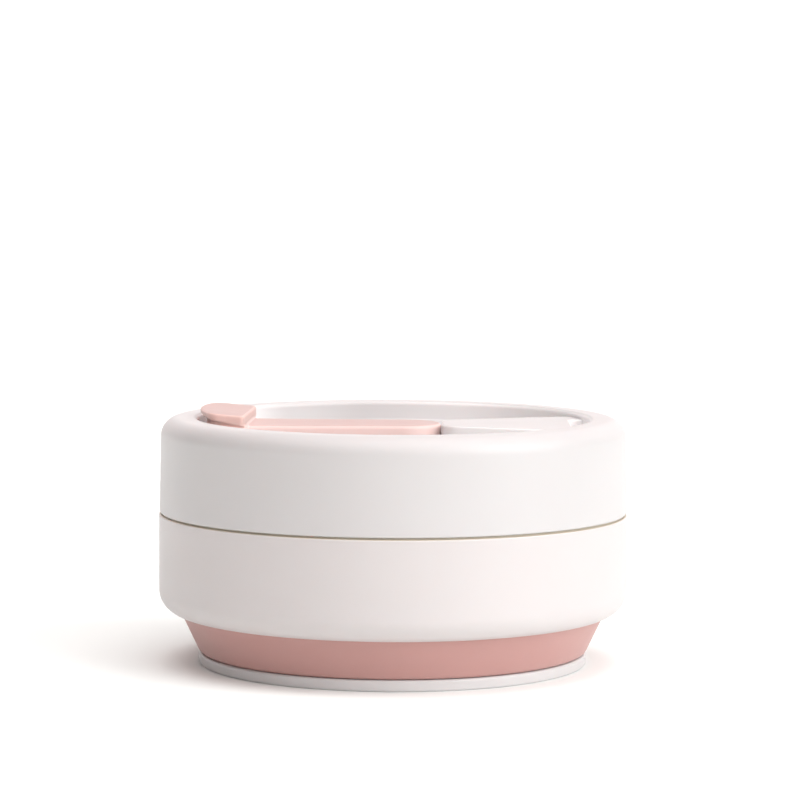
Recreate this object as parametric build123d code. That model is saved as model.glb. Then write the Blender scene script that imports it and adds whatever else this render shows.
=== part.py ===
from build123d import *
import math
import os

# Collapsible travel cup, stored collapsed, millimetres, +Z up.
# The origin is the centre of the foot's underside, on the table.
# The stopper's tab points to -X; its strap runs along X and folds over to +X.

# ---- driving dimensions -------------------------------------------------
sleeve_radius = 48.0
sleeve_bottom = 10.55
sleeve_top = 30.75
sleeve_corner_radius = 4.7
sleeve_wall = 1.8
sleeve_mouth_radius = 44.3
sleeve_lip_clearance = 0.3

seam_gap = 0.35
lid_top = 50.4
lid_wall = 1.65
lid_draft = 0.32
lid_corner_radius = 5.0
recess_radius = 40.2
recess_lip_radius = 0.9
deck_top = 46.2
deck_thickness = 1.8
plug_skirt_bottom = 40.0
plug_skirt_wall = 1.6
channel_ceiling = 48.5

foot_radius = 39.85
foot_height = 2.3
foot_edge_radius = 0.5

silicone_wall = 1.8
floor_thickness = 2.0
shoulder_bottom = 2.45
shoulder_bottom_radius = 39.65
shoulder_slope = 0.48
upper_radius = 45.6
rim_bead_width = 3.5
rim_bead_height = 3.4
rim_top = 48.15
middle_radius = 36.4
middle_bottom = 3.1
lower_radius = 32.8
tier_top = 24.0

fold_thickness = 0.6
fold_clearance = 0.3
fold_crest = 0.9

hinge_z = 49.25
strap_half_width = 7.6
strap_tab_half_width = 8.6
strap_clearance = 0.3
hinge_gap = 0.3
anchor_end = 9.8
tab_inner_x = -29.4
tab_outer_radius = 39.6
tab_half_width = 14.0
tab_corner_radius = 2.5
tab_inner_top = 51.45
tab_outer_top = 52.35
tab_inner_bottom = 49.5
tab_outer_bottom = 51.4
tab_root_radius = 38.2
tab_root_half_width = 11.0
tab_root_corner_radius = 2.0

sip_x = -32.6
sip_length = 16.0
sip_width = 8.0
stopper_plug_length = 14.6
stopper_plug_width = 6.4
stopper_plug_tip_scale = 0.8
stopper_plug_depth = 2.7

anchor_x = 5.0
anchor_hole_radius = 3.1
anchor_post_radius = 3.0
anchor_barb_radius = 4.2
anchor_barb_height = 1.2

fan_start_x = 9.9
fan_start_half_width = 7.2
fan_start_corner_radius = 4.5
fan_half_width = 17.0
fan_wide_x = 36.5
notch_start_x = 36.3
notch_half_width = 9.0

# ---- derived ------------------------------------------------------------
lid_inner_radius = sleeve_radius - sleeve_wall
recess_wall_outer = recess_radius + plug_skirt_wall
deck_bottom = deck_top - deck_thickness
strap_bottom = deck_top + strap_clearance


def turned(points, radii):
    """Solid turned about Z from a closed (radius, height) outline with one corner radius per point."""
    outline = FilletPolyline(*[(r, 0, z) for r, z in points], radius=radii, close=True)
    return revolve(make_face(outline), Axis.Z)


def slab(outline, bottom, top):
    """Flat plate with the given closed (x, y) outline between two heights."""
    return Pos(0, 0, bottom) * extrude(make_face(Polyline(*outline, close=True)), top - bottom)


def block(start_x, end_x, half_width, bottom, top):
    """Rectangular plate centred on the X axis, between two stations and two heights."""
    outline = [(start_x, -half_width), (end_x, -half_width), (end_x, half_width), (start_x, half_width)]
    return slab(outline, bottom, top)


def shoulder_radius(z):
    """Outer radius of the upper tier's conical shoulder at a height."""
    return shoulder_bottom_radius + shoulder_slope * (z - shoulder_bottom)


def shoulder_height(radius):
    """Height at which the shoulder's outer face reaches a radius."""
    return shoulder_bottom + (radius - shoulder_bottom_radius) / shoulder_slope


def foot_disc():
    """Rigid disc bonded under the silicone floor; it is what the cup stands on."""
    return turned(
        [(0, 0), (foot_radius, 0), (foot_radius, foot_height), (0, foot_height)],
        [0, foot_edge_radius, foot_edge_radius, 0],
    )


def lower_tier():
    """Innermost tier: the cup's floor and the wall that rises from it."""
    inner = lower_radius - silicone_wall
    floor_top = foot_height + floor_thickness
    return turned(
        [
            (0, foot_height),
            (lower_radius, foot_height),
            (lower_radius, tier_top),
            (inner, tier_top),
            (inner, floor_top),
            (0, floor_top),
        ],
        [0, 0.6, 0.5, 0.5, 1.5, 0],
    )


def middle_tier():
    """Plain ring between the two folds."""
    inner = middle_radius - silicone_wall
    return turned(
        [
            (middle_radius, middle_bottom),
            (middle_radius, tier_top),
            (inner, tier_top),
            (inner, middle_bottom),
        ],
        [0.5, 0.5, 0.5, 0.5],
    )


def upper_tier():
    """Outermost tier: conical shoulder, straight wall and the rim bead that the lid grips."""
    inner = upper_radius - silicone_wall
    slant_wall = silicone_wall * math.hypot(1, shoulder_slope)
    bead_inner = upper_radius - rim_bead_width
    bead_bottom = rim_top - rim_bead_height
    return turned(
        [
            (shoulder_bottom_radius, shoulder_bottom),
            (upper_radius, shoulder_height(upper_radius)),
            (upper_radius, rim_top),
            (bead_inner, rim_top),
            (bead_inner, bead_bottom),
            (inner, bead_bottom - (inner - bead_inner)),
            (inner, shoulder_height(inner + slant_wall)),
            (shoulder_bottom_radius - slant_wall, shoulder_bottom),
        ],
        [1.9, 3.0, 0.9, 0.9, 0.8, 0.8, 3.0, 0.3],
    )


def fold(gap_inner, gap_outer, bottom, crest_inner):
    """Thin living fold, pleated in the gap between two tiers.

    It hangs from just above the inner tier's top edge down to the outer tier's lower edge.
    """
    wall_outer = gap_outer - fold_clearance
    wall_inner = wall_outer - fold_thickness
    crest_bottom = tier_top + fold_clearance
    return turned(
        [
            (wall_inner, bottom),
            (wall_outer, bottom),
            (wall_outer, tier_top + fold_crest),
            (crest_inner, tier_top + fold_crest),
            (crest_inner, crest_bottom),
            (wall_inner, crest_bottom),
        ],
        [0, 0, 0.5, 0, 0, 0],
    )


def upper_fold():
    """Fold between the middle tier's top and the upper tier's lower edge."""
    slant_wall = silicone_wall * math.hypot(1, shoulder_slope)
    gap_outer = shoulder_bottom_radius - slant_wall
    return fold(middle_radius, gap_outer, shoulder_bottom, middle_radius - silicone_wall)


def lower_fold():
    """Fold between the lower tier's top and the middle tier's lower edge."""
    gap_outer = middle_radius - silicone_wall
    return fold(lower_radius, gap_outer, middle_bottom, lower_radius - silicone_wall)


def sleeve():
    """Rigid heat-guard ring round the upper tier, curling in under the shoulder."""
    inner = sleeve_radius - sleeve_wall
    arc_centre_r = sleeve_radius - sleeve_corner_radius
    drop = math.sqrt(sleeve_corner_radius**2 - (sleeve_mouth_radius - arc_centre_r) ** 2)
    arc_centre_z = sleeve_bottom + drop
    mid_angle = math.atan2(-drop, sleeve_mouth_radius - arc_centre_r) / 2
    arc_middle = (
        arc_centre_r + sleeve_corner_radius * math.cos(mid_angle),
        0,
        arc_centre_z + sleeve_corner_radius * math.sin(mid_angle),
    )
    lip_inner = shoulder_radius(sleeve_bottom) + sleeve_lip_clearance
    outer_foot = (sleeve_radius, 0, arc_centre_z)
    mouth = (sleeve_mouth_radius, 0, sleeve_bottom)
    inner_foot_z = sleeve_bottom + (inner - lip_inner) / shoulder_slope
    edge = 0.3
    outline = Curve() + [
        ThreePointArc(outer_foot, arc_middle, mouth),
        Polyline(
            mouth,
            (lip_inner, 0, sleeve_bottom),
            (inner, 0, inner_foot_z),
            (inner, 0, sleeve_top),
            (sleeve_radius - edge, 0, sleeve_top),
            (sleeve_radius, 0, sleeve_top - edge),
            outer_foot,
        ),
    ]
    return revolve(make_face(outline), Axis.Z)


def lid_shell():
    """Lid turned in one: outer wall, rounded rim, sunken deck and the skirt that plugs the cup."""
    bottom = sleeve_top + seam_gap
    wall_foot = sleeve_radius - 0.13
    wall_head = wall_foot - lid_draft
    return turned(
        [
            (0, deck_top),
            (recess_radius, deck_top),
            (recess_radius, lid_top),
            (wall_head, lid_top),
            (wall_foot, bottom),
            (lid_inner_radius, bottom),
            (lid_inner_radius, channel_ceiling),
            (recess_wall_outer, channel_ceiling),
            (recess_wall_outer, plug_skirt_bottom),
            (recess_radius, plug_skirt_bottom),
            (recess_radius, deck_bottom),
            (0, deck_bottom),
        ],
        [0, 0.5, recess_lip_radius, lid_corner_radius, 0.3, 0.3, 1.2, 0.8, 0.5, 0.3, 0.8, 0],
    )


def fan():
    """Raised seat on the deck, from the strap's end to the rim, with a fingertip notch."""
    outline = [
        (fan_start_x, -fan_start_half_width),
        (fan_wide_x, -fan_half_width),
        (recess_wall_outer, -fan_half_width),
        (recess_wall_outer, fan_half_width),
        (fan_wide_x, fan_half_width),
        (fan_start_x, fan_start_half_width),
    ]
    fan_bottom = deck_top - deck_thickness / 2
    blank = slab(outline, fan_bottom, hinge_z)
    start_corners = blank.edges().filter_by(Axis.Z).sort_by(Axis.X)[:2]
    plate = fillet(start_corners, fan_start_corner_radius)
    inside = Pos(0, 0, fan_bottom) * Cylinder(
        recess_radius + plug_skirt_wall / 2, hinge_z, align=(Align.CENTER, Align.CENTER, Align.MIN)
    )
    notch = block(notch_start_x, recess_radius, notch_half_width, deck_top, hinge_z + 1)
    reach = Cylinder(recess_radius, 4 * lid_top)
    return plate & inside - (notch & reach)


def lid():
    """Lid with its fan seat, sip hole and the hole that holds the stopper's post."""
    sip_hole = Pos(sip_x, 0, deck_bottom - 1) * extrude(
        Rot(0, 0, 90) * SlotOverall(sip_length, sip_width), deck_thickness + 2
    )
    post_hole = Pos(anchor_x, 0, deck_top) * Cylinder(anchor_hole_radius, 3 * deck_thickness)
    return lid_shell() + fan() - sip_hole - post_hole


def tab():
    """Thumb tab at the stopper's end: a wide overhanging lip on a narrower root in the recess."""
    side = [
        (tab_inner_x, tab_inner_bottom),
        (tab_inner_x, tab_inner_top),
        (-tab_outer_radius, tab_outer_top),
        (-tab_outer_radius, tab_outer_bottom),
    ]
    profile = make_face(Polyline(*[(x, 0, z) for x, z in side], close=True))
    lip = extrude(profile, tab_half_width, both=True) & Cylinder(tab_outer_radius, 4 * lid_top)
    lip_corners = lip.edges().filter_by(Axis.Z).sort_by(Axis.X)[:2]
    root_top = (tab_inner_bottom + tab_inner_top) / 2
    root_blank = block(-tab_outer_radius, tab_inner_x, tab_root_half_width, strap_bottom, root_top)
    root = root_blank & Cylinder(tab_root_radius, 4 * lid_top)
    root_corners = root.edges().filter_by(Axis.Z).sort_by(Axis.X)[:2]
    return fillet(lip_corners, tab_corner_radius) + fillet(root_corners, tab_root_corner_radius)


def stopper_plug():
    """Tapered oval plug under the tab that closes the sip hole."""
    top = Rot(0, 0, 90) * SlotOverall(stopper_plug_length, stopper_plug_width)
    tip = Rot(0, 0, 90) * SlotOverall(
        stopper_plug_length * stopper_plug_tip_scale, stopper_plug_width * stopper_plug_tip_scale
    )
    tip_z = strap_bottom - stopper_plug_depth
    return Pos(sip_x, 0, 0) * loft([Pos(0, 0, tip_z) * tip, Pos(0, 0, strap_bottom + 0.2) * top])


def stopper_flap():
    """Moving half of the stopper: strap, thumb tab and plug."""
    strap = slab(
        [
            (-hinge_gap, -strap_half_width),
            (-hinge_gap, strap_half_width),
            (tab_inner_x - 1, strap_tab_half_width),
            (tab_inner_x - 1, -strap_tab_half_width),
        ],
        strap_bottom,
        hinge_z,
    )
    return strap + tab() + stopper_plug()


def stopper_anchor():
    """Fixed half of the stopper: rounded end of the strap and the barbed post through the deck."""
    plate_bottom = deck_top + 0.1
    plate_top = hinge_z - 0.1
    sitting = (Align.CENTER, Align.CENTER, Align.MIN)
    round_x = anchor_end - strap_half_width
    straight = block(hinge_gap, round_x, strap_half_width, plate_bottom, plate_top)
    ahead = block(hinge_gap, anchor_end, strap_half_width, plate_bottom, plate_top)
    disc = Cylinder(strap_half_width, plate_top - plate_bottom, align=sitting)
    plate = straight + (Pos(round_x, 0, plate_bottom) * disc & ahead)
    barb_top = deck_bottom - 0.1
    barb_bottom = barb_top - anchor_barb_height
    post = Cylinder(anchor_post_radius, plate_top - barb_bottom, align=sitting)
    barb = Cylinder(anchor_barb_radius, anchor_barb_height, align=sitting)
    return plate + Pos(anchor_x, 0, barb_bottom) * (post + barb)


sub_parts = [
    foot_disc,
    lower_tier,
    lower_fold,
    middle_tier,
    upper_fold,
    upper_tier,
    sleeve,
    lid,
    stopper_flap,
    stopper_anchor,
]

os.makedirs("parts", exist_ok=True)
for make in sub_parts:
    export_step(make(), f"parts/{make.__name__}.step")
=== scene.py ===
import math

import bmesh
import bpy
from mathutils import Matrix, Vector


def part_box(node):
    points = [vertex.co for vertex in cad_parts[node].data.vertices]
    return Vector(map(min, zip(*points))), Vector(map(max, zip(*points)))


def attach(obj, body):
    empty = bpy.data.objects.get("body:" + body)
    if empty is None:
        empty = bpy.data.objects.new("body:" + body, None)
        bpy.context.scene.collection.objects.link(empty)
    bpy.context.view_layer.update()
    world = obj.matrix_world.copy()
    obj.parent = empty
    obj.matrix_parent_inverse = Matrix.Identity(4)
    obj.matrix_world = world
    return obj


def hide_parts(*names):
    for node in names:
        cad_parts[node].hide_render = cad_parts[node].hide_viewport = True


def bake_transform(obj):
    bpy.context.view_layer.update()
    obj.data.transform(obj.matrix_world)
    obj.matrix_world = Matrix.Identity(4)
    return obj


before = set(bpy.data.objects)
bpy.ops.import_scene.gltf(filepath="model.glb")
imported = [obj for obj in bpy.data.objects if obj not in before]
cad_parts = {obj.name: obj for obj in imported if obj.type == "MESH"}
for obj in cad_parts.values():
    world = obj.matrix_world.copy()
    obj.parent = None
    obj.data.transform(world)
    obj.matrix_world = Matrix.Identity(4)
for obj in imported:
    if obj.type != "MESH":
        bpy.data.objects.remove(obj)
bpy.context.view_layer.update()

# Collapsible travel cup. Outlines are written in millimetres and turned into metres when a mesh is made.
MM = 0.001
TURN_STEPS = 288
ARC_STEP = math.radians(7)
HOLD = 0.25
ROUND_STEPS = 6


def box_mm(node):
    """Lowest and highest corner of a CAD node, in millimetres."""
    low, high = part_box(node)
    return low / MM, high / MM


lid_low, lid_high = box_mm("lid")
sleeve_low, sleeve_high = box_mm("sleeve")
upper_low, upper_high = box_mm("upper_tier")
middle_low, middle_high = box_mm("middle_tier")
lower_low, lower_high = box_mm("lower_tier")
foot_high = box_mm("foot_disc")[1]
flap_low, flap_high = box_mm("stopper_flap")
anchor_low, anchor_high = box_mm("stopper_anchor")

# ---- sizes that the boxes don't give ------------------------------------
sleeve_wall = 1.8
sleeve_top = 30.75
sleeve_curl = 4.7
sleeve_mouth_radius = 44.3
seam_step_radius = 47.25
seam_step_height = 0.3
silicone_wall = 1.8
recess_radius = 40.2
deck_top = 46.2
deck_bottom = 44.4
lid_draft = 0.32
skirt_wall = 1.6
skirt_depth = 8.65
channel_ceiling = 48.5
fan_start_x = 9.9
fan_start_half = 7.2
fan_rim_x = 36.9
fan_rim_half = 17.15
notch_start_x = 36.3
notch_end_x = 40.5
notch_half = 9.0
shoulder_slope = 0.48
shoulder_bottom_radius = 39.65
foot_gap = 0.04
bead_depth = 3.5
bead_height = 3.4
tier_edge = 0.6
cup_floor = 2.0
fold_wall = 0.6
hinge_z = 49.25
sip_x = -32.6
sip_length = 16.0
sip_width = 8.0
anchor_x = 5.0
anchor_hole_radius = 3.1


# ---- outlines -----------------------------------------------------------
def arc_points(corner, toward_a, toward_b, radius):
    """Points of the arc of a radius that rounds a corner between two directions."""
    a = (toward_a - corner).normalized()
    b = (toward_b - corner).normalized()
    half = a.angle(b) / 2
    shorter = min((toward_a - corner).length, (toward_b - corner).length)
    reach = min(radius / math.tan(half), 0.499 * shorter)
    radius = reach * math.tan(half)
    centre = corner + (a + b).normalized() * (radius / math.sin(half))
    start = corner + a * reach - centre
    end = corner + b * reach - centre
    sweep = start.angle(end)
    steps = max(3, math.ceil(sweep / ARC_STEP))
    points = []
    for i in range(steps + 1):
        t = i / steps
        along = (start * math.sin((1 - t) * sweep) + end * math.sin(t * sweep)) / math.sin(sweep)
        points.append(centre + along)
    return points


def outline(corners, closed=True):
    """Dense outline from (x, y, corner radius) corners; straight stretches keep a point close to each end."""
    spots = [Vector((c[0], c[1])) for c in corners]
    count = len(spots)
    rounded = []
    for i, (spot, corner) in enumerate(zip(spots, corners)):
        ends = not closed and i in (0, count - 1)
        if ends or corner[2] <= 0:
            rounded.append([spot])
        else:
            rounded.append(arc_points(spot, spots[i - 1], spots[(i + 1) % count], corner[2]))
    points = []
    for i, stretch in enumerate(rounded):
        points += stretch
        if not closed and i == count - 1:
            break
        start = stretch[-1]
        end = rounded[(i + 1) % count][0]
        gap = end - start
        if gap.length > 3 * HOLD:
            points.append(start + gap.normalized() * HOLD)
            points.append(end - gap.normalized() * HOLD)
    return points


# ---- meshes -------------------------------------------------------------
def finish_mesh(name, bm, sharp_angle=38):
    """Turns a bmesh in millimetres into an object in metres with smooth shading."""
    bmesh.ops.remove_doubles(bm, verts=bm.verts, dist=0.002)
    bmesh.ops.recalc_face_normals(bm, faces=bm.faces)
    bmesh.ops.scale(bm, vec=(MM, MM, MM), verts=bm.verts)
    mesh = bpy.data.meshes.new(name)
    bm.to_mesh(mesh)
    bm.free()
    mesh.polygons.foreach_set("use_smooth", [True] * len(mesh.polygons))
    mesh.set_sharp_from_angle(angle=math.radians(sharp_angle))
    piece = bpy.data.objects.new(name, mesh)
    bpy.context.scene.collection.objects.link(piece)
    return piece


def add_turned(bm, points, closed=True, steps=TURN_STEPS):
    """Adds a surface turned about Z from (radius, height) points. Points on the axis are shared."""
    rings = []
    for p in points:
        if p.x < 1e-6:
            rings.append([bm.verts.new((0, 0, p.y))] * steps)
            continue
        ring = []
        for k in range(steps):
            angle = 2 * math.pi * k / steps
            ring.append(bm.verts.new((p.x * math.cos(angle), p.x * math.sin(angle), p.y)))
        rings.append(ring)
    pairs = list(zip(rings, rings[1:]))
    if closed:
        pairs.append((rings[-1], rings[0]))
    for lower, upper in pairs:
        for k in range(steps):
            n = (k + 1) % steps
            corners = []
            for v in (lower[k], lower[n], upper[n], upper[k]):
                if v not in corners:
                    corners.append(v)
            if len(corners) > 2:
                bm.faces.new(corners)
    return rings


def add_rings(bm, loops):
    """Adds side walls through loops of points that have the same count."""
    rings = [[bm.verts.new(p) for p in loop] for loop in loops]
    count = len(rings[0])
    for lower, upper in zip(rings, rings[1:]):
        for k in range(count):
            n = (k + 1) % count
            bm.faces.new((lower[k], lower[n], upper[n], upper[k]))
    return rings


def inset(points, distance):
    """Moves a counter-clockwise closed outline inwards by a distance."""
    moved = []
    count = len(points)
    for i, p in enumerate(points):
        along = (points[(i + 1) % count] - points[i - 1]).normalized()
        moved.append(p + Vector((-along.y, along.x)) * distance)
    return moved


def add_flat(bm, height, loops):
    """Fills a level face between an outer loop and any holes."""
    edges = []
    for loop in loops:
        verts = [bm.verts.new((p.x, p.y, height)) for p in loop]
        for i, v in enumerate(verts):
            edges.append(bm.edges.new((v, verts[(i + 1) % len(verts)])))
    bmesh.ops.triangle_fill(bm, use_beauty=True, use_dissolve=False, edges=edges, normal=(0, 0, 1))


def cap(bm, ring):
    """Fills a level ring of vertices, hollow corners included."""
    edges = [bm.edges.get((v, ring[(i + 1) % len(ring)])) for i, v in enumerate(ring)]
    bmesh.ops.triangle_fill(bm, use_beauty=True, use_dissolve=False, edges=edges, normal=(0, 0, 1))


def add_capped(bm, loops):
    """Adds a closed solid through loops, with a level face at each end."""
    rings = add_rings(bm, loops)
    cap(bm, rings[0])
    cap(bm, rings[-1])


def quarter_round(rounding, steps):
    """Pairs of (1 - sine, 1 - cosine) times the rounding, over a quarter turn."""
    angles = [math.pi / 2 * i / steps for i in range(steps + 1)]
    return [(rounding * (1 - math.sin(a)), rounding * (1 - math.cos(a))) for a in angles]


def circle(radius, steps=TURN_STEPS, centre=(0, 0)):
    """Counter-clockwise circle of points."""
    angles = [2 * math.pi * k / steps for k in range(steps)]
    return [Vector((centre[0] + radius * math.cos(a), centre[1] + radius * math.sin(a))) for a in angles]


# ---- materials ----------------------------------------------------------
def new_material(name, color, roughness, subsurface, sheen=0.0, specular=0.5):
    """Principled material with its even settings on the shader's own sockets."""
    material = bpy.data.materials.new(name)
    material.use_nodes = True
    nodes = material.node_tree.nodes
    shader = nodes["Principled BSDF"]
    shader.inputs["Base Color"].default_value = (*color, 1)
    shader.inputs["Roughness"].default_value = roughness
    shader.inputs["Specular IOR Level"].default_value = specular
    shader.inputs["Subsurface Weight"].default_value = subsurface
    shader.inputs["Subsurface Radius"].default_value = (1.0, 0.6, 0.5)
    shader.inputs["Subsurface Scale"].default_value = 0.0015
    shader.inputs["Sheen Weight"].default_value = sheen
    shader.inputs["Sheen Roughness"].default_value = 0.5
    return material, shader


def add_noise(material, scale, detail, roughness=0.5):
    """Object-space noise, so the grain keeps its real size on every piece."""
    nodes, links = material.node_tree.nodes, material.node_tree.links
    place = nodes.new("ShaderNodeTexCoord")
    noise = nodes.new("ShaderNodeTexNoise")
    noise.inputs["Scale"].default_value = scale
    noise.inputs["Detail"].default_value = detail
    noise.inputs["Roughness"].default_value = roughness
    links.new(place.outputs["Object"], noise.inputs["Vector"])
    return noise


def tint(material, shader, noise, low_color, high_color):
    """Lets the colour drift between two tones with a noise."""
    nodes, links = material.node_tree.nodes, material.node_tree.links
    ramp = nodes.new("ShaderNodeValToRGB")
    ramp.color_ramp.elements[0].position = 0.3
    ramp.color_ramp.elements[1].position = 0.7
    ramp.color_ramp.elements[0].color = (*low_color, 1)
    ramp.color_ramp.elements[1].color = (*high_color, 1)
    links.new(noise.outputs["Fac"], ramp.inputs["Fac"])
    links.new(ramp.outputs["Color"], shader.inputs["Base Color"])


def vary_roughness(material, shader, noise, low, high):
    """Lets the gloss drift between two values with a noise."""
    nodes, links = material.node_tree.nodes, material.node_tree.links
    spread = nodes.new("ShaderNodeMapRange")
    spread.inputs["From Min"].default_value = 0.3
    spread.inputs["From Max"].default_value = 0.7
    spread.inputs["To Min"].default_value = low
    spread.inputs["To Max"].default_value = high
    links.new(noise.outputs["Fac"], spread.inputs["Value"])
    links.new(spread.outputs["Result"], shader.inputs["Roughness"])


def add_bump(material, shader, noise, depth, strength):
    """Raises the surface with a noise, by a depth in metres."""
    nodes, links = material.node_tree.nodes, material.node_tree.links
    bump = nodes.new("ShaderNodeBump")
    bump.inputs["Strength"].default_value = strength
    bump.inputs["Distance"].default_value = depth
    links.new(noise.outputs["Fac"], bump.inputs["Height"])
    links.new(bump.outputs["Normal"], shader.inputs["Normal"])


def add_span(nodes, links, source, low, high, bottom, top):
    """Smooth rise from bottom to top while a value runs from low to high."""
    span = nodes.new("ShaderNodeMapRange")
    span.interpolation_type = "SMOOTHSTEP"
    span.inputs["From Min"].default_value = low
    span.inputs["From Max"].default_value = high
    span.inputs["To Min"].default_value = bottom
    span.inputs["To Max"].default_value = top
    links.new(source, span.inputs["Value"])
    return span.outputs["Result"]


def toned(color, factor):
    """A colour made lighter or darker by a factor."""
    return tuple(min(1.0, c * factor) for c in color)


def multiply(nodes, links, first, second):
    """Product of two values."""
    product = nodes.new("ShaderNodeMath")
    product.operation = "MULTIPLY"
    links.new(first, product.inputs[0])
    links.new(second, product.inputs[1])
    return product.outputs["Value"]


def measure(nodes, links, vector):
    """Length of a vector's horizontal part."""
    flat = nodes.new("ShaderNodeVectorMath")
    flat.operation = "MULTIPLY"
    flat.inputs[1].default_value = (1, 1, 0)
    links.new(vector, flat.inputs[0])
    length = nodes.new("ShaderNodeVectorMath")
    length.operation = "LENGTH"
    links.new(flat.outputs["Vector"], length.inputs[0])
    return length.outputs["Value"]


def mix_color(material, factor, color):
    """Draws the base colour toward another one by a factor between 0 and 1."""
    nodes, links = material.node_tree.nodes, material.node_tree.links
    shader = nodes["Principled BSDF"]
    mix = nodes.new("ShaderNodeMix")
    mix.data_type = "RGBA"
    mix.inputs["B"].default_value = (*color, 1)
    tone = shader.inputs["Base Color"].links[0].from_socket
    links.new(factor, mix.inputs["Factor"])
    links.new(tone, mix.inputs["A"])
    links.new(mix.outputs["Result"], shader.inputs["Base Color"])


def add_fade(nodes, links, place, axis, start, end):
    """Rise from 0 to 1 along an axis, from a start to an end in millimetres, in either direction."""
    along = nodes.new("ShaderNodeSeparateXYZ")
    links.new(place.outputs["Object"], along.inputs["Vector"])
    if start < end:
        return add_span(nodes, links, along.outputs[axis], start * MM, end * MM, 0.0, 1.0)
    return add_span(nodes, links, along.outputs[axis], end * MM, start * MM, 1.0, 0.0)


def paint_light_on_steep(material, color, fade=None, within=None):
    """Painted light: a lighter tone on steep faces, for light that falls on them. fade is (axis, start, end)
    and within is a radius, in millimetres.
    """
    nodes, links = material.node_tree.nodes, material.node_tree.links
    place = nodes.new("ShaderNodeTexCoord")
    lean = measure(nodes, links, place.outputs["Normal"])
    level_lean, steep_lean = 0.25, 0.85
    factor = add_span(nodes, links, lean, level_lean, steep_lean, 0.0, 1.0)
    if fade:
        factor = multiply(nodes, links, factor, add_fade(nodes, links, place, *fade))
    if within:
        radius = measure(nodes, links, place.outputs["Object"])
        inside = add_span(nodes, links, radius, within * MM, (within + 0.6) * MM, 1.0, 0.0)
        factor = multiply(nodes, links, factor, inside)
    mix_color(material, factor, color)


def paint_shade_above(material, color, height):
    """Painted shade: a darker tone above a height in millimetres."""
    nodes, links = material.node_tree.nodes, material.node_tree.links
    place = nodes.new("ShaderNodeTexCoord")
    mix_color(material, add_fade(nodes, links, place, "Z", height - 0.1, height), color)


def moulded_plastic(name, color, roughness=0.38):
    """Satin polypropylene: fine spark-eroded grain, slow flow marks in tone and gloss, a little depth."""
    material, shader = new_material(name, color, roughness, subsurface=0.15)
    flow = add_noise(material, scale=22, detail=3)
    tint(material, shader, flow, toned(color, 0.985), toned(color, 1.01))
    wear = add_noise(material, scale=60, detail=4)
    vary_roughness(material, shader, wear, roughness - 0.05, roughness + 0.06)
    grain = add_noise(material, scale=2600, detail=3, roughness=0.6)
    add_bump(material, shader, grain, depth=0.00002, strength=0.35)
    return material


def moulded_silicone(name, color, roughness=0.5):
    """Matte silicone: soft, slightly deep, with a fine velvety grain and faint handling marks."""
    material, shader = new_material(name, color, roughness, subsurface=0.25, sheen=0.12, specular=0.42)
    cloud = add_noise(material, scale=34, detail=4)
    tint(material, shader, cloud, toned(color, 0.965), toned(color, 1.025))
    wear = add_noise(material, scale=90, detail=5)
    vary_roughness(material, shader, wear, roughness - 0.06, roughness + 0.08)
    grain = add_noise(material, scale=3600, detail=4, roughness=0.6)
    add_bump(material, shader, grain, depth=0.00003, strength=0.4)
    return material


def paint(piece, material):
    """Gives a piece its one material."""
    piece.data.materials.clear()
    piece.data.materials.append(material)


# ---- the rigid pieces ---------------------------------------------------
def make_foot():
    """Foot disc with softened edges."""
    radius, top = foot_high.x, foot_high.z
    points = outline([(0, 0, 0), (radius, 0, 0.45), (radius, top, 0.5), (0, top, 0)], closed=False)
    bm = bmesh.new()
    add_turned(bm, points, closed=False)
    return finish_mesh("foot", bm)


def make_sleeve():
    """Heat-guard ring: straight wall, then a wide curl in to the shoulder of the cup."""
    radius, bottom = sleeve_high.x, sleeve_low.z
    step_top = sleeve_top + seam_step_height
    drop = math.sqrt(sleeve_curl**2 - (sleeve_mouth_radius - radius + sleeve_curl) ** 2)
    centre = Vector((radius - sleeve_curl, bottom + drop))
    lip_clearance = 0.3
    lip_inner = shoulder_bottom_radius + shoulder_slope * (bottom - upper_low.z) + lip_clearance
    inner = radius - sleeve_wall
    end_angle = math.atan2(-drop, sleeve_mouth_radius - centre.x)
    steps = 22
    points = []
    for i in range(steps + 1):
        angle = end_angle * (1 - i / steps)
        points.append(centre + Vector((math.cos(angle), math.sin(angle))) * sleeve_curl)
    upper_corners = [
        (radius, centre.y, 0),
        (radius, sleeve_top, 0.35),
        (seam_step_radius, sleeve_top, 0.1),
        (seam_step_radius, step_top, 0.1),
        (inner, step_top, 0.2),
        (inner, bottom + (inner - lip_inner) / shoulder_slope, 2),
        (lip_inner, bottom, 0),
    ]
    points += outline(upper_corners, closed=False)[1:]
    bm = bmesh.new()
    add_turned(bm, points)
    return finish_mesh("heat_sleeve", bm)


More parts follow.
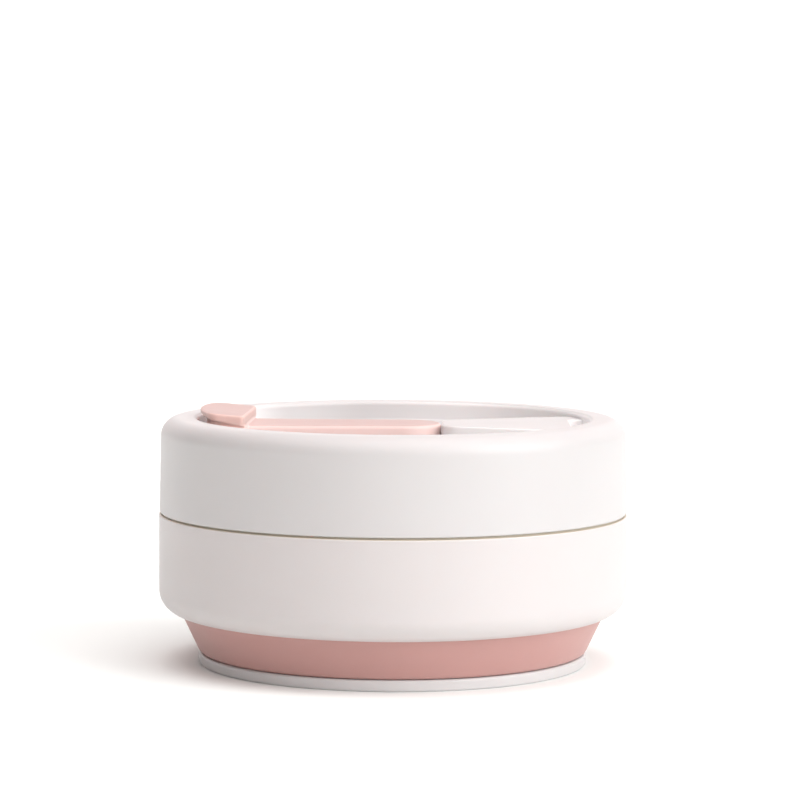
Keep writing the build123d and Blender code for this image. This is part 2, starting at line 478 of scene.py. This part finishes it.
def make_lid():
    """Lid: turned shell, level deck with its two holes, and the raised fan seat with a fingertip notch."""
    bottom, top = lid_low.z, lid_high.z
    wall_foot = lid_high.x
    wall_head = wall_foot - lid_draft
    inner = sleeve_high.x - sleeve_wall
    skirt_outer = recess_radius + skirt_wall
    skirt_bottom = bottom + skirt_depth
    deck_edge = recess_radius - 1.6
    shell = outline(
        [
            (deck_edge, deck_top, 0),
            (recess_radius, deck_top, 0.5),
            (recess_radius, top, 0.9),
            (wall_head, top, 5.0),
            (wall_foot, bottom, 0.35),
            (inner, bottom, 0.3),
            (inner, channel_ceiling, 1.2),
            (skirt_outer, channel_ceiling, 0.8),
            (skirt_outer, skirt_bottom, 0.5),
            (recess_radius, skirt_bottom, 0.3),
            (recess_radius, deck_bottom, 0.8),
            (deck_edge, deck_bottom, 0),
        ],
        closed=False,
    )
    bm = bmesh.new()
    add_turned(bm, shell, closed=False)
    sip = slot_outline(sip_x, sip_length, sip_width)
    post = circle(anchor_hole_radius, 48, (anchor_x, 0))
    rounding = 0.4
    for loop in (sip, post):
        add_rings(bm, hole_wall(loop, rounding))
    for level in (deck_top, deck_bottom):
        add_flat(bm, level, [circle(deck_edge), inset(sip, -rounding), inset(post, -rounding)])
    add_plateau(bm, fan_outline(), deck_top - 0.3, hinge_z - 0.02, rounding)
    return finish_mesh("lid_shell", bm)


def slot_outline(x, length, width):
    """Counter-clockwise oval, long along Y."""
    half = width / 2
    straight = length / 2 - half
    steps = 20
    points = []
    for sign in (1, -1):
        for i in range(steps + 1):
            angle = math.pi * i / steps + (0 if sign > 0 else math.pi)
            points.append(Vector((x + half * math.cos(angle), sign * straight + half * math.sin(angle))))
    return points


def hole_wall(loop, rounding):
    """Loops down through the deck, rounded at both faces."""
    steps = 5
    pairs = quarter_round(rounding, steps)
    loops = []
    for spread, drop in pairs:
        loops.append([(p.x, p.y, deck_top - drop) for p in inset(loop, -spread)])
    for spread, lift in reversed(pairs):
        loops.append([(p.x, p.y, deck_bottom + lift) for p in inset(loop, -spread)])
    return loops


def fan_outline():
    """Fan seat, widening from the strap's end to the rim, with a notch in its outer end."""
    upper = [
        (notch_start_x, notch_half, 1.5),
        (notch_end_x, notch_half, 0.9),
        (fan_rim_x, fan_rim_half, 1.0),
        (fan_start_x, fan_start_half, 4.5),
    ]
    lower = [(x, -y, radius) for x, y, radius in reversed(upper)]
    return outline(lower + upper)


def add_plateau(bm, loop, bottom, top, rounding):
    """Raised flat-topped island with a rounded upper edge."""
    loops = [[(p.x, p.y, bottom) for p in loop], [(p.x, p.y, top - rounding - 0.3) for p in loop]]
    for drop, spread in quarter_round(rounding, ROUND_STEPS):
        loops.append([(p.x, p.y, top - drop) for p in inset(loop, spread)])
    loops.append([(p.x, p.y, top) for p in inset(loop, rounding + 0.1)])
    add_capped(bm, loops)


# ---- the silicone pieces ------------------------------------------------
def make_upper_tier():
    """Upper tier: slanted shoulder, straight wall, and a bead inside the rim."""
    bottom, top, radius = foot_high.z + foot_gap, upper_high.z, upper_high.x
    slant = silicone_wall * math.hypot(1, shoulder_slope)
    inner = radius - silicone_wall
    bead_inner = radius - bead_depth
    bead_bottom = top - bead_height
    bm = bmesh.new()
    points = outline(
        [
            (shoulder_bottom_radius, bottom, 1.4),
            (radius, bottom + (radius - shoulder_bottom_radius) / shoulder_slope, 3.0),
            (radius, top, 0.9),
            (bead_inner, top, 0.9),
            (bead_inner, bead_bottom, 0.8),
            (inner, bead_bottom - (inner - bead_inner), 0.8),
            (inner, bottom + (inner + slant - shoulder_bottom_radius) / shoulder_slope, 3.0),
            (shoulder_bottom_radius - slant, bottom, 0.3),
        ]
    )
    add_turned(bm, points)
    return finish_mesh("upper_cup", bm)


def make_middle_tier():
    """Middle tier: a plain ring with rounded edges."""
    outer = middle_high.x
    inner = outer - silicone_wall
    bottom, top = middle_low.z, middle_high.z
    ring = [(outer, bottom), (outer, top), (inner, top), (inner, bottom)]
    bm = bmesh.new()
    add_turned(bm, outline([(radius, height, tier_edge) for radius, height in ring]))
    return finish_mesh("middle_cup", bm)


def make_lower_tier():
    """Lower tier with the cup's floor."""
    outer = lower_high.x
    inner = outer - silicone_wall
    bottom, top = lower_low.z, lower_high.z
    floor_top = bottom + cup_floor
    points = outline(
        [
            (0, bottom, 0),
            (outer, bottom, tier_edge),
            (outer, top, tier_edge),
            (inner, top, tier_edge),
            (inner, floor_top, 1.8),
            (0, floor_top, 0),
        ],
        closed=False,
    )
    bm = bmesh.new()
    add_turned(bm, points, closed=False)
    return finish_mesh("lower_cup", bm)


def make_fold(name, node, inner_tier_inner, tier_top):
    """Living fold, with many rows along its height."""
    low, high = box_mm(node)
    outer = high.x
    inner = outer - fold_wall
    crest = high.z
    steps = 70
    start, end = low.z, tier_top
    over_tier = end + 0.3
    points = []
    for i in range(steps + 1):
        points.append(Vector((outer, start + (end - start) * i / steps)))
    crown = [
        (outer, end, 0),
        (outer, crest, 0.5),
        (inner_tier_inner, crest, 0),
        (inner_tier_inner, over_tier, 0),
    ]
    points += outline(crown, closed=False)[1:]
    points.append(Vector((inner + 0.02, over_tier)))
    for i in range(steps + 1):
        points.append(Vector((inner, end - (end - start) * i / steps)))
    bm = bmesh.new()
    add_turned(bm, points)
    return finish_mesh(name, bm, 60)


# ---- stopper ------------------------------------------------------------
tab_inner_x = -29.4
tab_radius = -flap_low.x
tab_half = flap_high.y
tab_corner = 2.5
tab_tip_blend = 30.0
tab_skew = 0.05
strap_half_hinge = 7.6
strap_half_tab = 8.6
strap_bottom = deck_top + 0.3
tab_top_inner = 51.45
tab_top_outer = flap_high.z
lip_bottom_inner = 49.2
lip_bottom_outer = 51.4
root_radius = 38.2
root_half = 11.0
root_corner = 2.0
step_reach = 0.8
plug_length = 14.6
plug_width = 6.4
post_radius = 3.0
barb_radius = 4.2
barb_tip_radius = 3.4
barb_height = 1.2


def smooth(t):
    """Eased step from 0 to 1."""
    t = min(1.0, max(0.0, t))
    return t * t * (3 - 2 * t)


def along_tab(x, inner, outer):
    """Value that runs evenly from the tab's inner end to its tip."""
    return inner + (outer - inner) * (tab_inner_x - x) / (tab_inner_x + tab_radius)


def tab_top(x):
    """Height of the tab's top."""
    return along_tab(x, tab_top_inner, tab_top_outer)


def lip_bottom(x):
    """Height of the underside of the tab's lip."""
    return along_tab(x, lip_bottom_inner, lip_bottom_outer)


def strap_half(x):
    """Half-width of the strap, and of the root it turns into under the tab."""
    if x > 0:
        return strap_half_hinge
    strap = strap_half_hinge + (strap_half_tab - strap_half_hinge) * min(1, x / tab_inner_x)
    root = rounded_half(x, root_radius, root_half, root_corner)
    return strap + (root - strap) * smooth((tab_inner_x + 0.1 - x) / step_reach)


def rounded_half(x, tip_radius, half, corner):
    """Half-width near a tip drawn as an arc about the cup's axis, with a rounded corner at each side."""
    centre_y = half - corner
    centre_x = -math.sqrt((tip_radius - corner) ** 2 - centre_y**2)
    meet_x = centre_x * tip_radius / (tip_radius - corner)
    if x > centre_x:
        return half
    if x > meet_x:
        return centre_y + math.sqrt(max(0.0, corner**2 - (x - centre_x) ** 2))
    return math.sqrt(max(0.0, tip_radius**2 - x * x))


def strap_top(x, y):
    """Height of the strap's top, with a hollow fillet where it climbs to the tab."""
    fillet = 0.7
    past_step = x - (tab_inner_x + tab_skew * y)
    if past_step >= fillet:
        return hinge_z
    if past_step > 0:
        return hinge_z + fillet - math.sqrt(fillet**2 - (fillet - past_step) ** 2)
    climbed = hinge_z + fillet
    return climbed + (lip_bottom(x) + 0.6 - climbed) * smooth(-past_step / step_reach)


def strap_rows():
    """Rows of (x, y, distance to the edge) across the strap, turning round at its rounded end."""
    across = 48
    shares = [-math.cos(math.pi * k / across) for k in range(across + 1)]
    tip, tip_end, step_start, step_end, bend_start = 0.01 - root_radius, -36.5, -31, -27.6, -2.5
    centre = anchor_high.x - strap_half_hinge
    spans = [
        (tip, tip_end, 0.08),
        (tip_end, step_start, 0.4),
        (step_start, step_end, 0.1),
        (step_end, bend_start, 0.6),
        (bend_start, centre, 0.15),
    ]
    rows = []
    for start, end, step in spans:
        count = math.ceil((end - start) / step)
        for i in range(count):
            x = start + (end - start) * i / count
            half = strap_half(x)
            row = []
            for s in shares:
                to_tip = root_radius - math.hypot(x, half * s)
                row.append((x, half * s, min(half * (1 - abs(s)), to_tip)))
            rows.append(row)
    turns = 24
    for i in range(turns + 1):
        angle = math.pi / 2 * i / turns
        row = []
        for s in shares:
            radius = strap_half_hinge * abs(s)
            x = centre + radius * math.sin(angle)
            y = math.copysign(1, s) * radius * math.cos(angle)
            row.append((x, y, strap_half_hinge - radius))
        rows.append(row)
    return rows


def edge_drop(distance, rounding):
    """How far a rounded edge falls away at a distance from the side."""
    return rounding - math.sqrt(max(0.0, rounding**2 - max(0.0, rounding - distance) ** 2))


def make_stopper():
    """Stopper: strap, thumb tab, plug and post in one piece."""
    bm = bmesh.new()
    add_strap(bm)
    add_tab_lip(bm)
    add_plug(bm)
    add_post(bm)
    return finish_mesh("stopper", bm, 50)


def add_strap(bm):
    """Strap from its round end to the root under the tab, dense where it bends."""
    top_rounding, bottom_rounding = 0.85, 0.4
    layout = strap_rows()
    top, bottom = [], []
    for row in layout:
        top.append([bm.verts.new((x, y, strap_top(x, y) - edge_drop(d, top_rounding))) for x, y, d in row])
    for row in layout:
        bottom.append([bm.verts.new((x, y, strap_bottom + edge_drop(d, bottom_rounding))) for x, y, d in row])
    for rows in (top, bottom):
        for a, b in zip(rows, rows[1:]):
            for k in range(len(a) - 1):
                bm.faces.new((a[k], b[k], b[k + 1], a[k + 1]))

    def rim(rows):
        """Outer edge of a grid of vertices, all the way round."""
        return rows[0] + [r[-1] for r in rows[1:]] + [r[0] for r in rows[:0:-1]]

    upper, lower = rim(top), rim(bottom)
    for k in range(len(upper)):
        n = (k + 1) % len(upper)
        bm.faces.new((upper[k], upper[n], lower[n], lower[k]))


def add_tab_lip(bm):
    """Wide thumb lip that overhangs the root and the rim."""
    front_x = tab_inner_x - tab_skew * tab_half
    back_x = tab_inner_x + tab_skew * tab_half
    corner_angle = math.asin(tab_half / tab_radius)
    tip = []
    steps = 6
    for i in range(steps + 1):
        angle = corner_angle * (1 - 2 * i / steps)
        corner = tab_corner if i in (0, steps) else tab_tip_blend
        tip.append((-tab_radius * math.cos(angle), tab_radius * math.sin(angle), corner))
    loop = outline([(front_x, -tab_half, 0.9), (back_x, tab_half, 0.9)] + tip)
    bottom_rounding, top_rounding = 0.3, 0.5
    loops = [[(p.x, p.y, lip_bottom(p.x)) for p in inset(loop, bottom_rounding + 0.1)]]
    for spread, lift in quarter_round(bottom_rounding, ROUND_STEPS):
        loops.append([(p.x, p.y, lip_bottom(p.x) + lift) for p in inset(loop, spread)])
    for drop, spread in quarter_round(top_rounding, ROUND_STEPS):
        loops.append([(p.x, p.y, tab_top(p.x) - drop) for p in inset(loop, spread)])
    loops.append([(p.x, p.y, tab_top(p.x)) for p in inset(loop, top_rounding + 0.1)])
    add_capped(bm, loops)


def add_plug(bm):
    """Oval plug under the tab, tapered, with a rounded tip."""
    loop = slot_outline(sip_x, plug_length, plug_width)
    tip_z = flap_low.z
    levels = [
        (strap_bottom + 0.5, 0),
        (strap_bottom - 0.6, 0.1),
        (tip_z + 0.9, 0.5),
        (tip_z + 0.25, 0.75),
        (tip_z, 1.2),
    ]
    add_capped(bm, [[(p.x, p.y, height) for p in inset(loop, spread)] for height, spread in levels])


def add_post(bm):
    """Barbed post that holds the stopper in the deck."""
    low = anchor_low.z
    barb_top = low + barb_height
    post_top = strap_bottom + 0.6
    corners = [
        (0, low, 0),
        (barb_tip_radius, low, 0.3),
        (barb_radius, low + 0.9, 0.2),
        (barb_radius, barb_top, 0.15),
        (post_radius, barb_top, 0.1),
        (post_radius, post_top, 0),
        (0, post_top, 0),
    ]
    points = outline(corners, closed=False)
    before = set(bm.verts)
    add_turned(bm, points, closed=False, steps=48)
    bmesh.ops.translate(bm, vec=(anchor_x, 0, 0), verts=[v for v in bm.verts if v not in before])


# ---- put the object together --------------------------------------------
# Each moulding is taken to be one colour. The lighter tones on steep faces are painted light,
# and the darker tone on the sleeve's upper edge is painted shade in the seam.
white = (0.61, 0.592, 0.592)
# Painted light: a much lighter tone for the steep walls inside the lid's recess.
recess_painted_light = (0.98, 0.97, 0.97)
# Painted shade: a darker warm tone for the seam on the sleeve's upper edge.
seam_painted_shade = (0.60, 0.53, 0.43)
sleeve_white = (0.64, 0.603, 0.60)
foot_white = (0.66, 0.64, 0.64)
pink = (0.52, 0.285, 0.262)
stopper_pink = (0.56, 0.385, 0.36)
# Painted light: lighter tones for the stopper's steep sides, the root under the tab and the lip's front.
stopper_side_painted_light = (0.78, 0.60, 0.57)
stopper_root_painted_light = (0.98, 0.66, 0.60)
stopper_lip_painted_light = (0.66, 0.46, 0.42)

lid_plastic = moulded_plastic("lid_plastic", white)
# Painted light: the steep walls inside the recess are drawn much lighter, in two stretches along X.
paint_light_on_steep(lid_plastic, recess_painted_light, fade=("X", -10, 22), within=recess_radius + 0.1)
paint_light_on_steep(lid_plastic, recess_painted_light, fade=("X", -22, -37), within=recess_radius + 0.1)
sleeve_plastic = moulded_plastic("sleeve_plastic", sleeve_white)
# Painted shade: the sleeve's upper edge above the seam is drawn in a darker warm tone.
paint_shade_above(sleeve_plastic, seam_painted_shade, sleeve_top - 0.05)
foot_plastic = moulded_plastic("foot_plastic", foot_white, 0.42)
cup_silicone = moulded_silicone("cup_silicone", pink)
stopper_silicone = moulded_silicone("stopper_silicone", stopper_pink)
# Painted light: the stopper's steep faces get lighter tones, lightest on the root under the tab.
paint_light_on_steep(stopper_silicone, stopper_side_painted_light)
paint_light_on_steep(stopper_silicone, stopper_root_painted_light, fade=("X", tab_inner_x - 0.2, tab_inner_x - 0.8))
paint_light_on_steep(stopper_silicone, stopper_lip_painted_light, fade=("Z", lip_bottom_inner - 0.1, lip_bottom_inner + 0.7))

plan = [
    (make_foot, foot_plastic, "base", "foot_disc", "foot_white"),
    (make_lower_tier, cup_silicone, "base", "lower_tier", "silicone_pink"),
    (make_middle_tier, cup_silicone, "middle", "middle_tier", "silicone_pink"),
    (make_upper_tier, cup_silicone, "upper", "upper_tier", "silicone_pink"),
    (make_sleeve, sleeve_plastic, "sleeve", "sleeve", "sleeve_white"),
    (make_lid, lid_plastic, "lid", "lid", "lid_white"),
]
for make, material, body, node, slot in plan:
    piece = make()
    paint(piece, material)
    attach(piece, body)
    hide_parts(node)

upper_band = make_fold("upper_fold_band", "upper_fold", middle_high.x - silicone_wall, middle_high.z)
lower_band = make_fold("lower_fold_band", "lower_fold", lower_high.x - silicone_wall, lower_high.z)
for band, outer_body, inner_body, low, high, node in (
    (upper_band, "upper", "middle", upper_low.z, middle_high.z, "upper_fold"),
    (lower_band, "middle", "base", middle_low.z, lower_high.z, "lower_fold"),
):
    paint(band, cup_silicone)
    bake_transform(band)
    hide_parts(node)

stopper = make_stopper()
paint(stopper, stopper_silicone)
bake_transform(stopper)
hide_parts("stopper_flap", "stopper_anchor")


# ---- floor, light and camera --------------------------------------------
def make_floor():
    """Plain pale floor, so large that it meets the backdrop at the horizon."""
    reach = 40.0
    bm = bmesh.new()
    corners = [bm.verts.new((x * reach, y * reach, 0)) for x, y in ((-1, -1), (1, -1), (1, 1), (-1, 1))]
    bm.faces.new(corners)
    mesh = bpy.data.meshes.new("floor")
    bm.to_mesh(mesh)
    bm.free()
    floor = bpy.data.objects.new("floor", mesh)
    bpy.context.scene.collection.objects.link(floor)
    paper = (0.92, 0.96, 0.95)
    drift = 0.005
    darker = tuple(c - drift for c in paper)
    lighter = tuple(c + drift for c in paper)
    material, shader = new_material("floor_paper", paper, 0.95, subsurface=0.0, specular=0.0)
    tint(material, shader, add_noise(material, scale=3, detail=2), darker, lighter)
    paint(floor, material)


def make_world():
    """Soft studio surround: bright overhead, behind, and in a patch high above the camera."""
    world = bpy.data.worlds.new("studio")
    world.use_nodes = True
    nodes, links = world.node_tree.nodes, world.node_tree.links
    background = nodes["Background"]
    background.inputs["Color"].default_value = (1.0, 0.93, 0.92, 1)
    place = nodes.new("ShaderNodeTexCoord")
    overhead = ((0, 0, 1), 0.6, 1.0, 1.75)
    behind = ((0, 1, 0), 0.3, 0.95, 1.2)
    above_camera = ((0.22, -0.60, 0.77), 0.5, 1.0, 1.15)
    total = None
    for direction, low, high, strength in (overhead, behind, above_camera):
        facing = nodes.new("ShaderNodeVectorMath")
        facing.operation = "DOT_PRODUCT"
        facing.inputs[1].default_value = direction
        links.new(place.outputs["Generated"], facing.inputs[0])
        patch = add_span(nodes, links, facing.outputs["Value"], low, high, 0.0, strength)
        if total is None:
            total = patch
            continue
        added = nodes.new("ShaderNodeMath")
        added.operation = "ADD"
        links.new(total, added.inputs[0])
        links.new(patch, added.inputs[1])
        total = added.outputs["Value"]
    links.new(total, background.inputs["Strength"])
    bpy.context.scene.world = world


def add_sun(name, toward, strength, spread, color=(1, 1, 1)):
    """Wide soft key; toward is the direction from the object to the light."""
    data = bpy.data.lights.new(name, "SUN")
    data.energy = strength
    data.angle = math.radians(spread)
    data.color = color
    light = bpy.data.objects.new(name, data)
    light.rotation_mode = "QUATERNION"
    light.rotation_quaternion = Vector(toward).to_track_quat("Z", "Y")
    bpy.context.scene.collection.objects.link(light)


def add_camera():
    """Camera a little above the lid, looking slightly down along +Y."""
    side, distance, height = 0.00131, 0.680, 0.1085
    pitch, roll = 0.0802, 0.0050
    data = bpy.data.cameras.new("camera")
    data.sensor_width = 36
    data.lens = 149.7
    data.clip_start = 0.01
    data.clip_end = 100
    camera = bpy.data.objects.new("camera", data)
    camera.location = (side, -distance, height)
    camera.rotation_mode = "QUATERNION"
    tilt = Matrix.Rotation(math.pi / 2 - pitch, 4, "X") @ Matrix.Rotation(roll, 4, "Z")
    camera.rotation_quaternion = tilt.to_quaternion()
    bpy.context.scene.collection.objects.link(camera)
    bpy.context.scene.camera = camera


make_floor()
make_world()
add_sun("key", toward=(0.80, -0.40, 0.45), strength=2.0, spread=50, color=(0.97, 1.0, 1.0))
bpy.context.scene.view_settings.view_transform = "Standard"
add_camera()
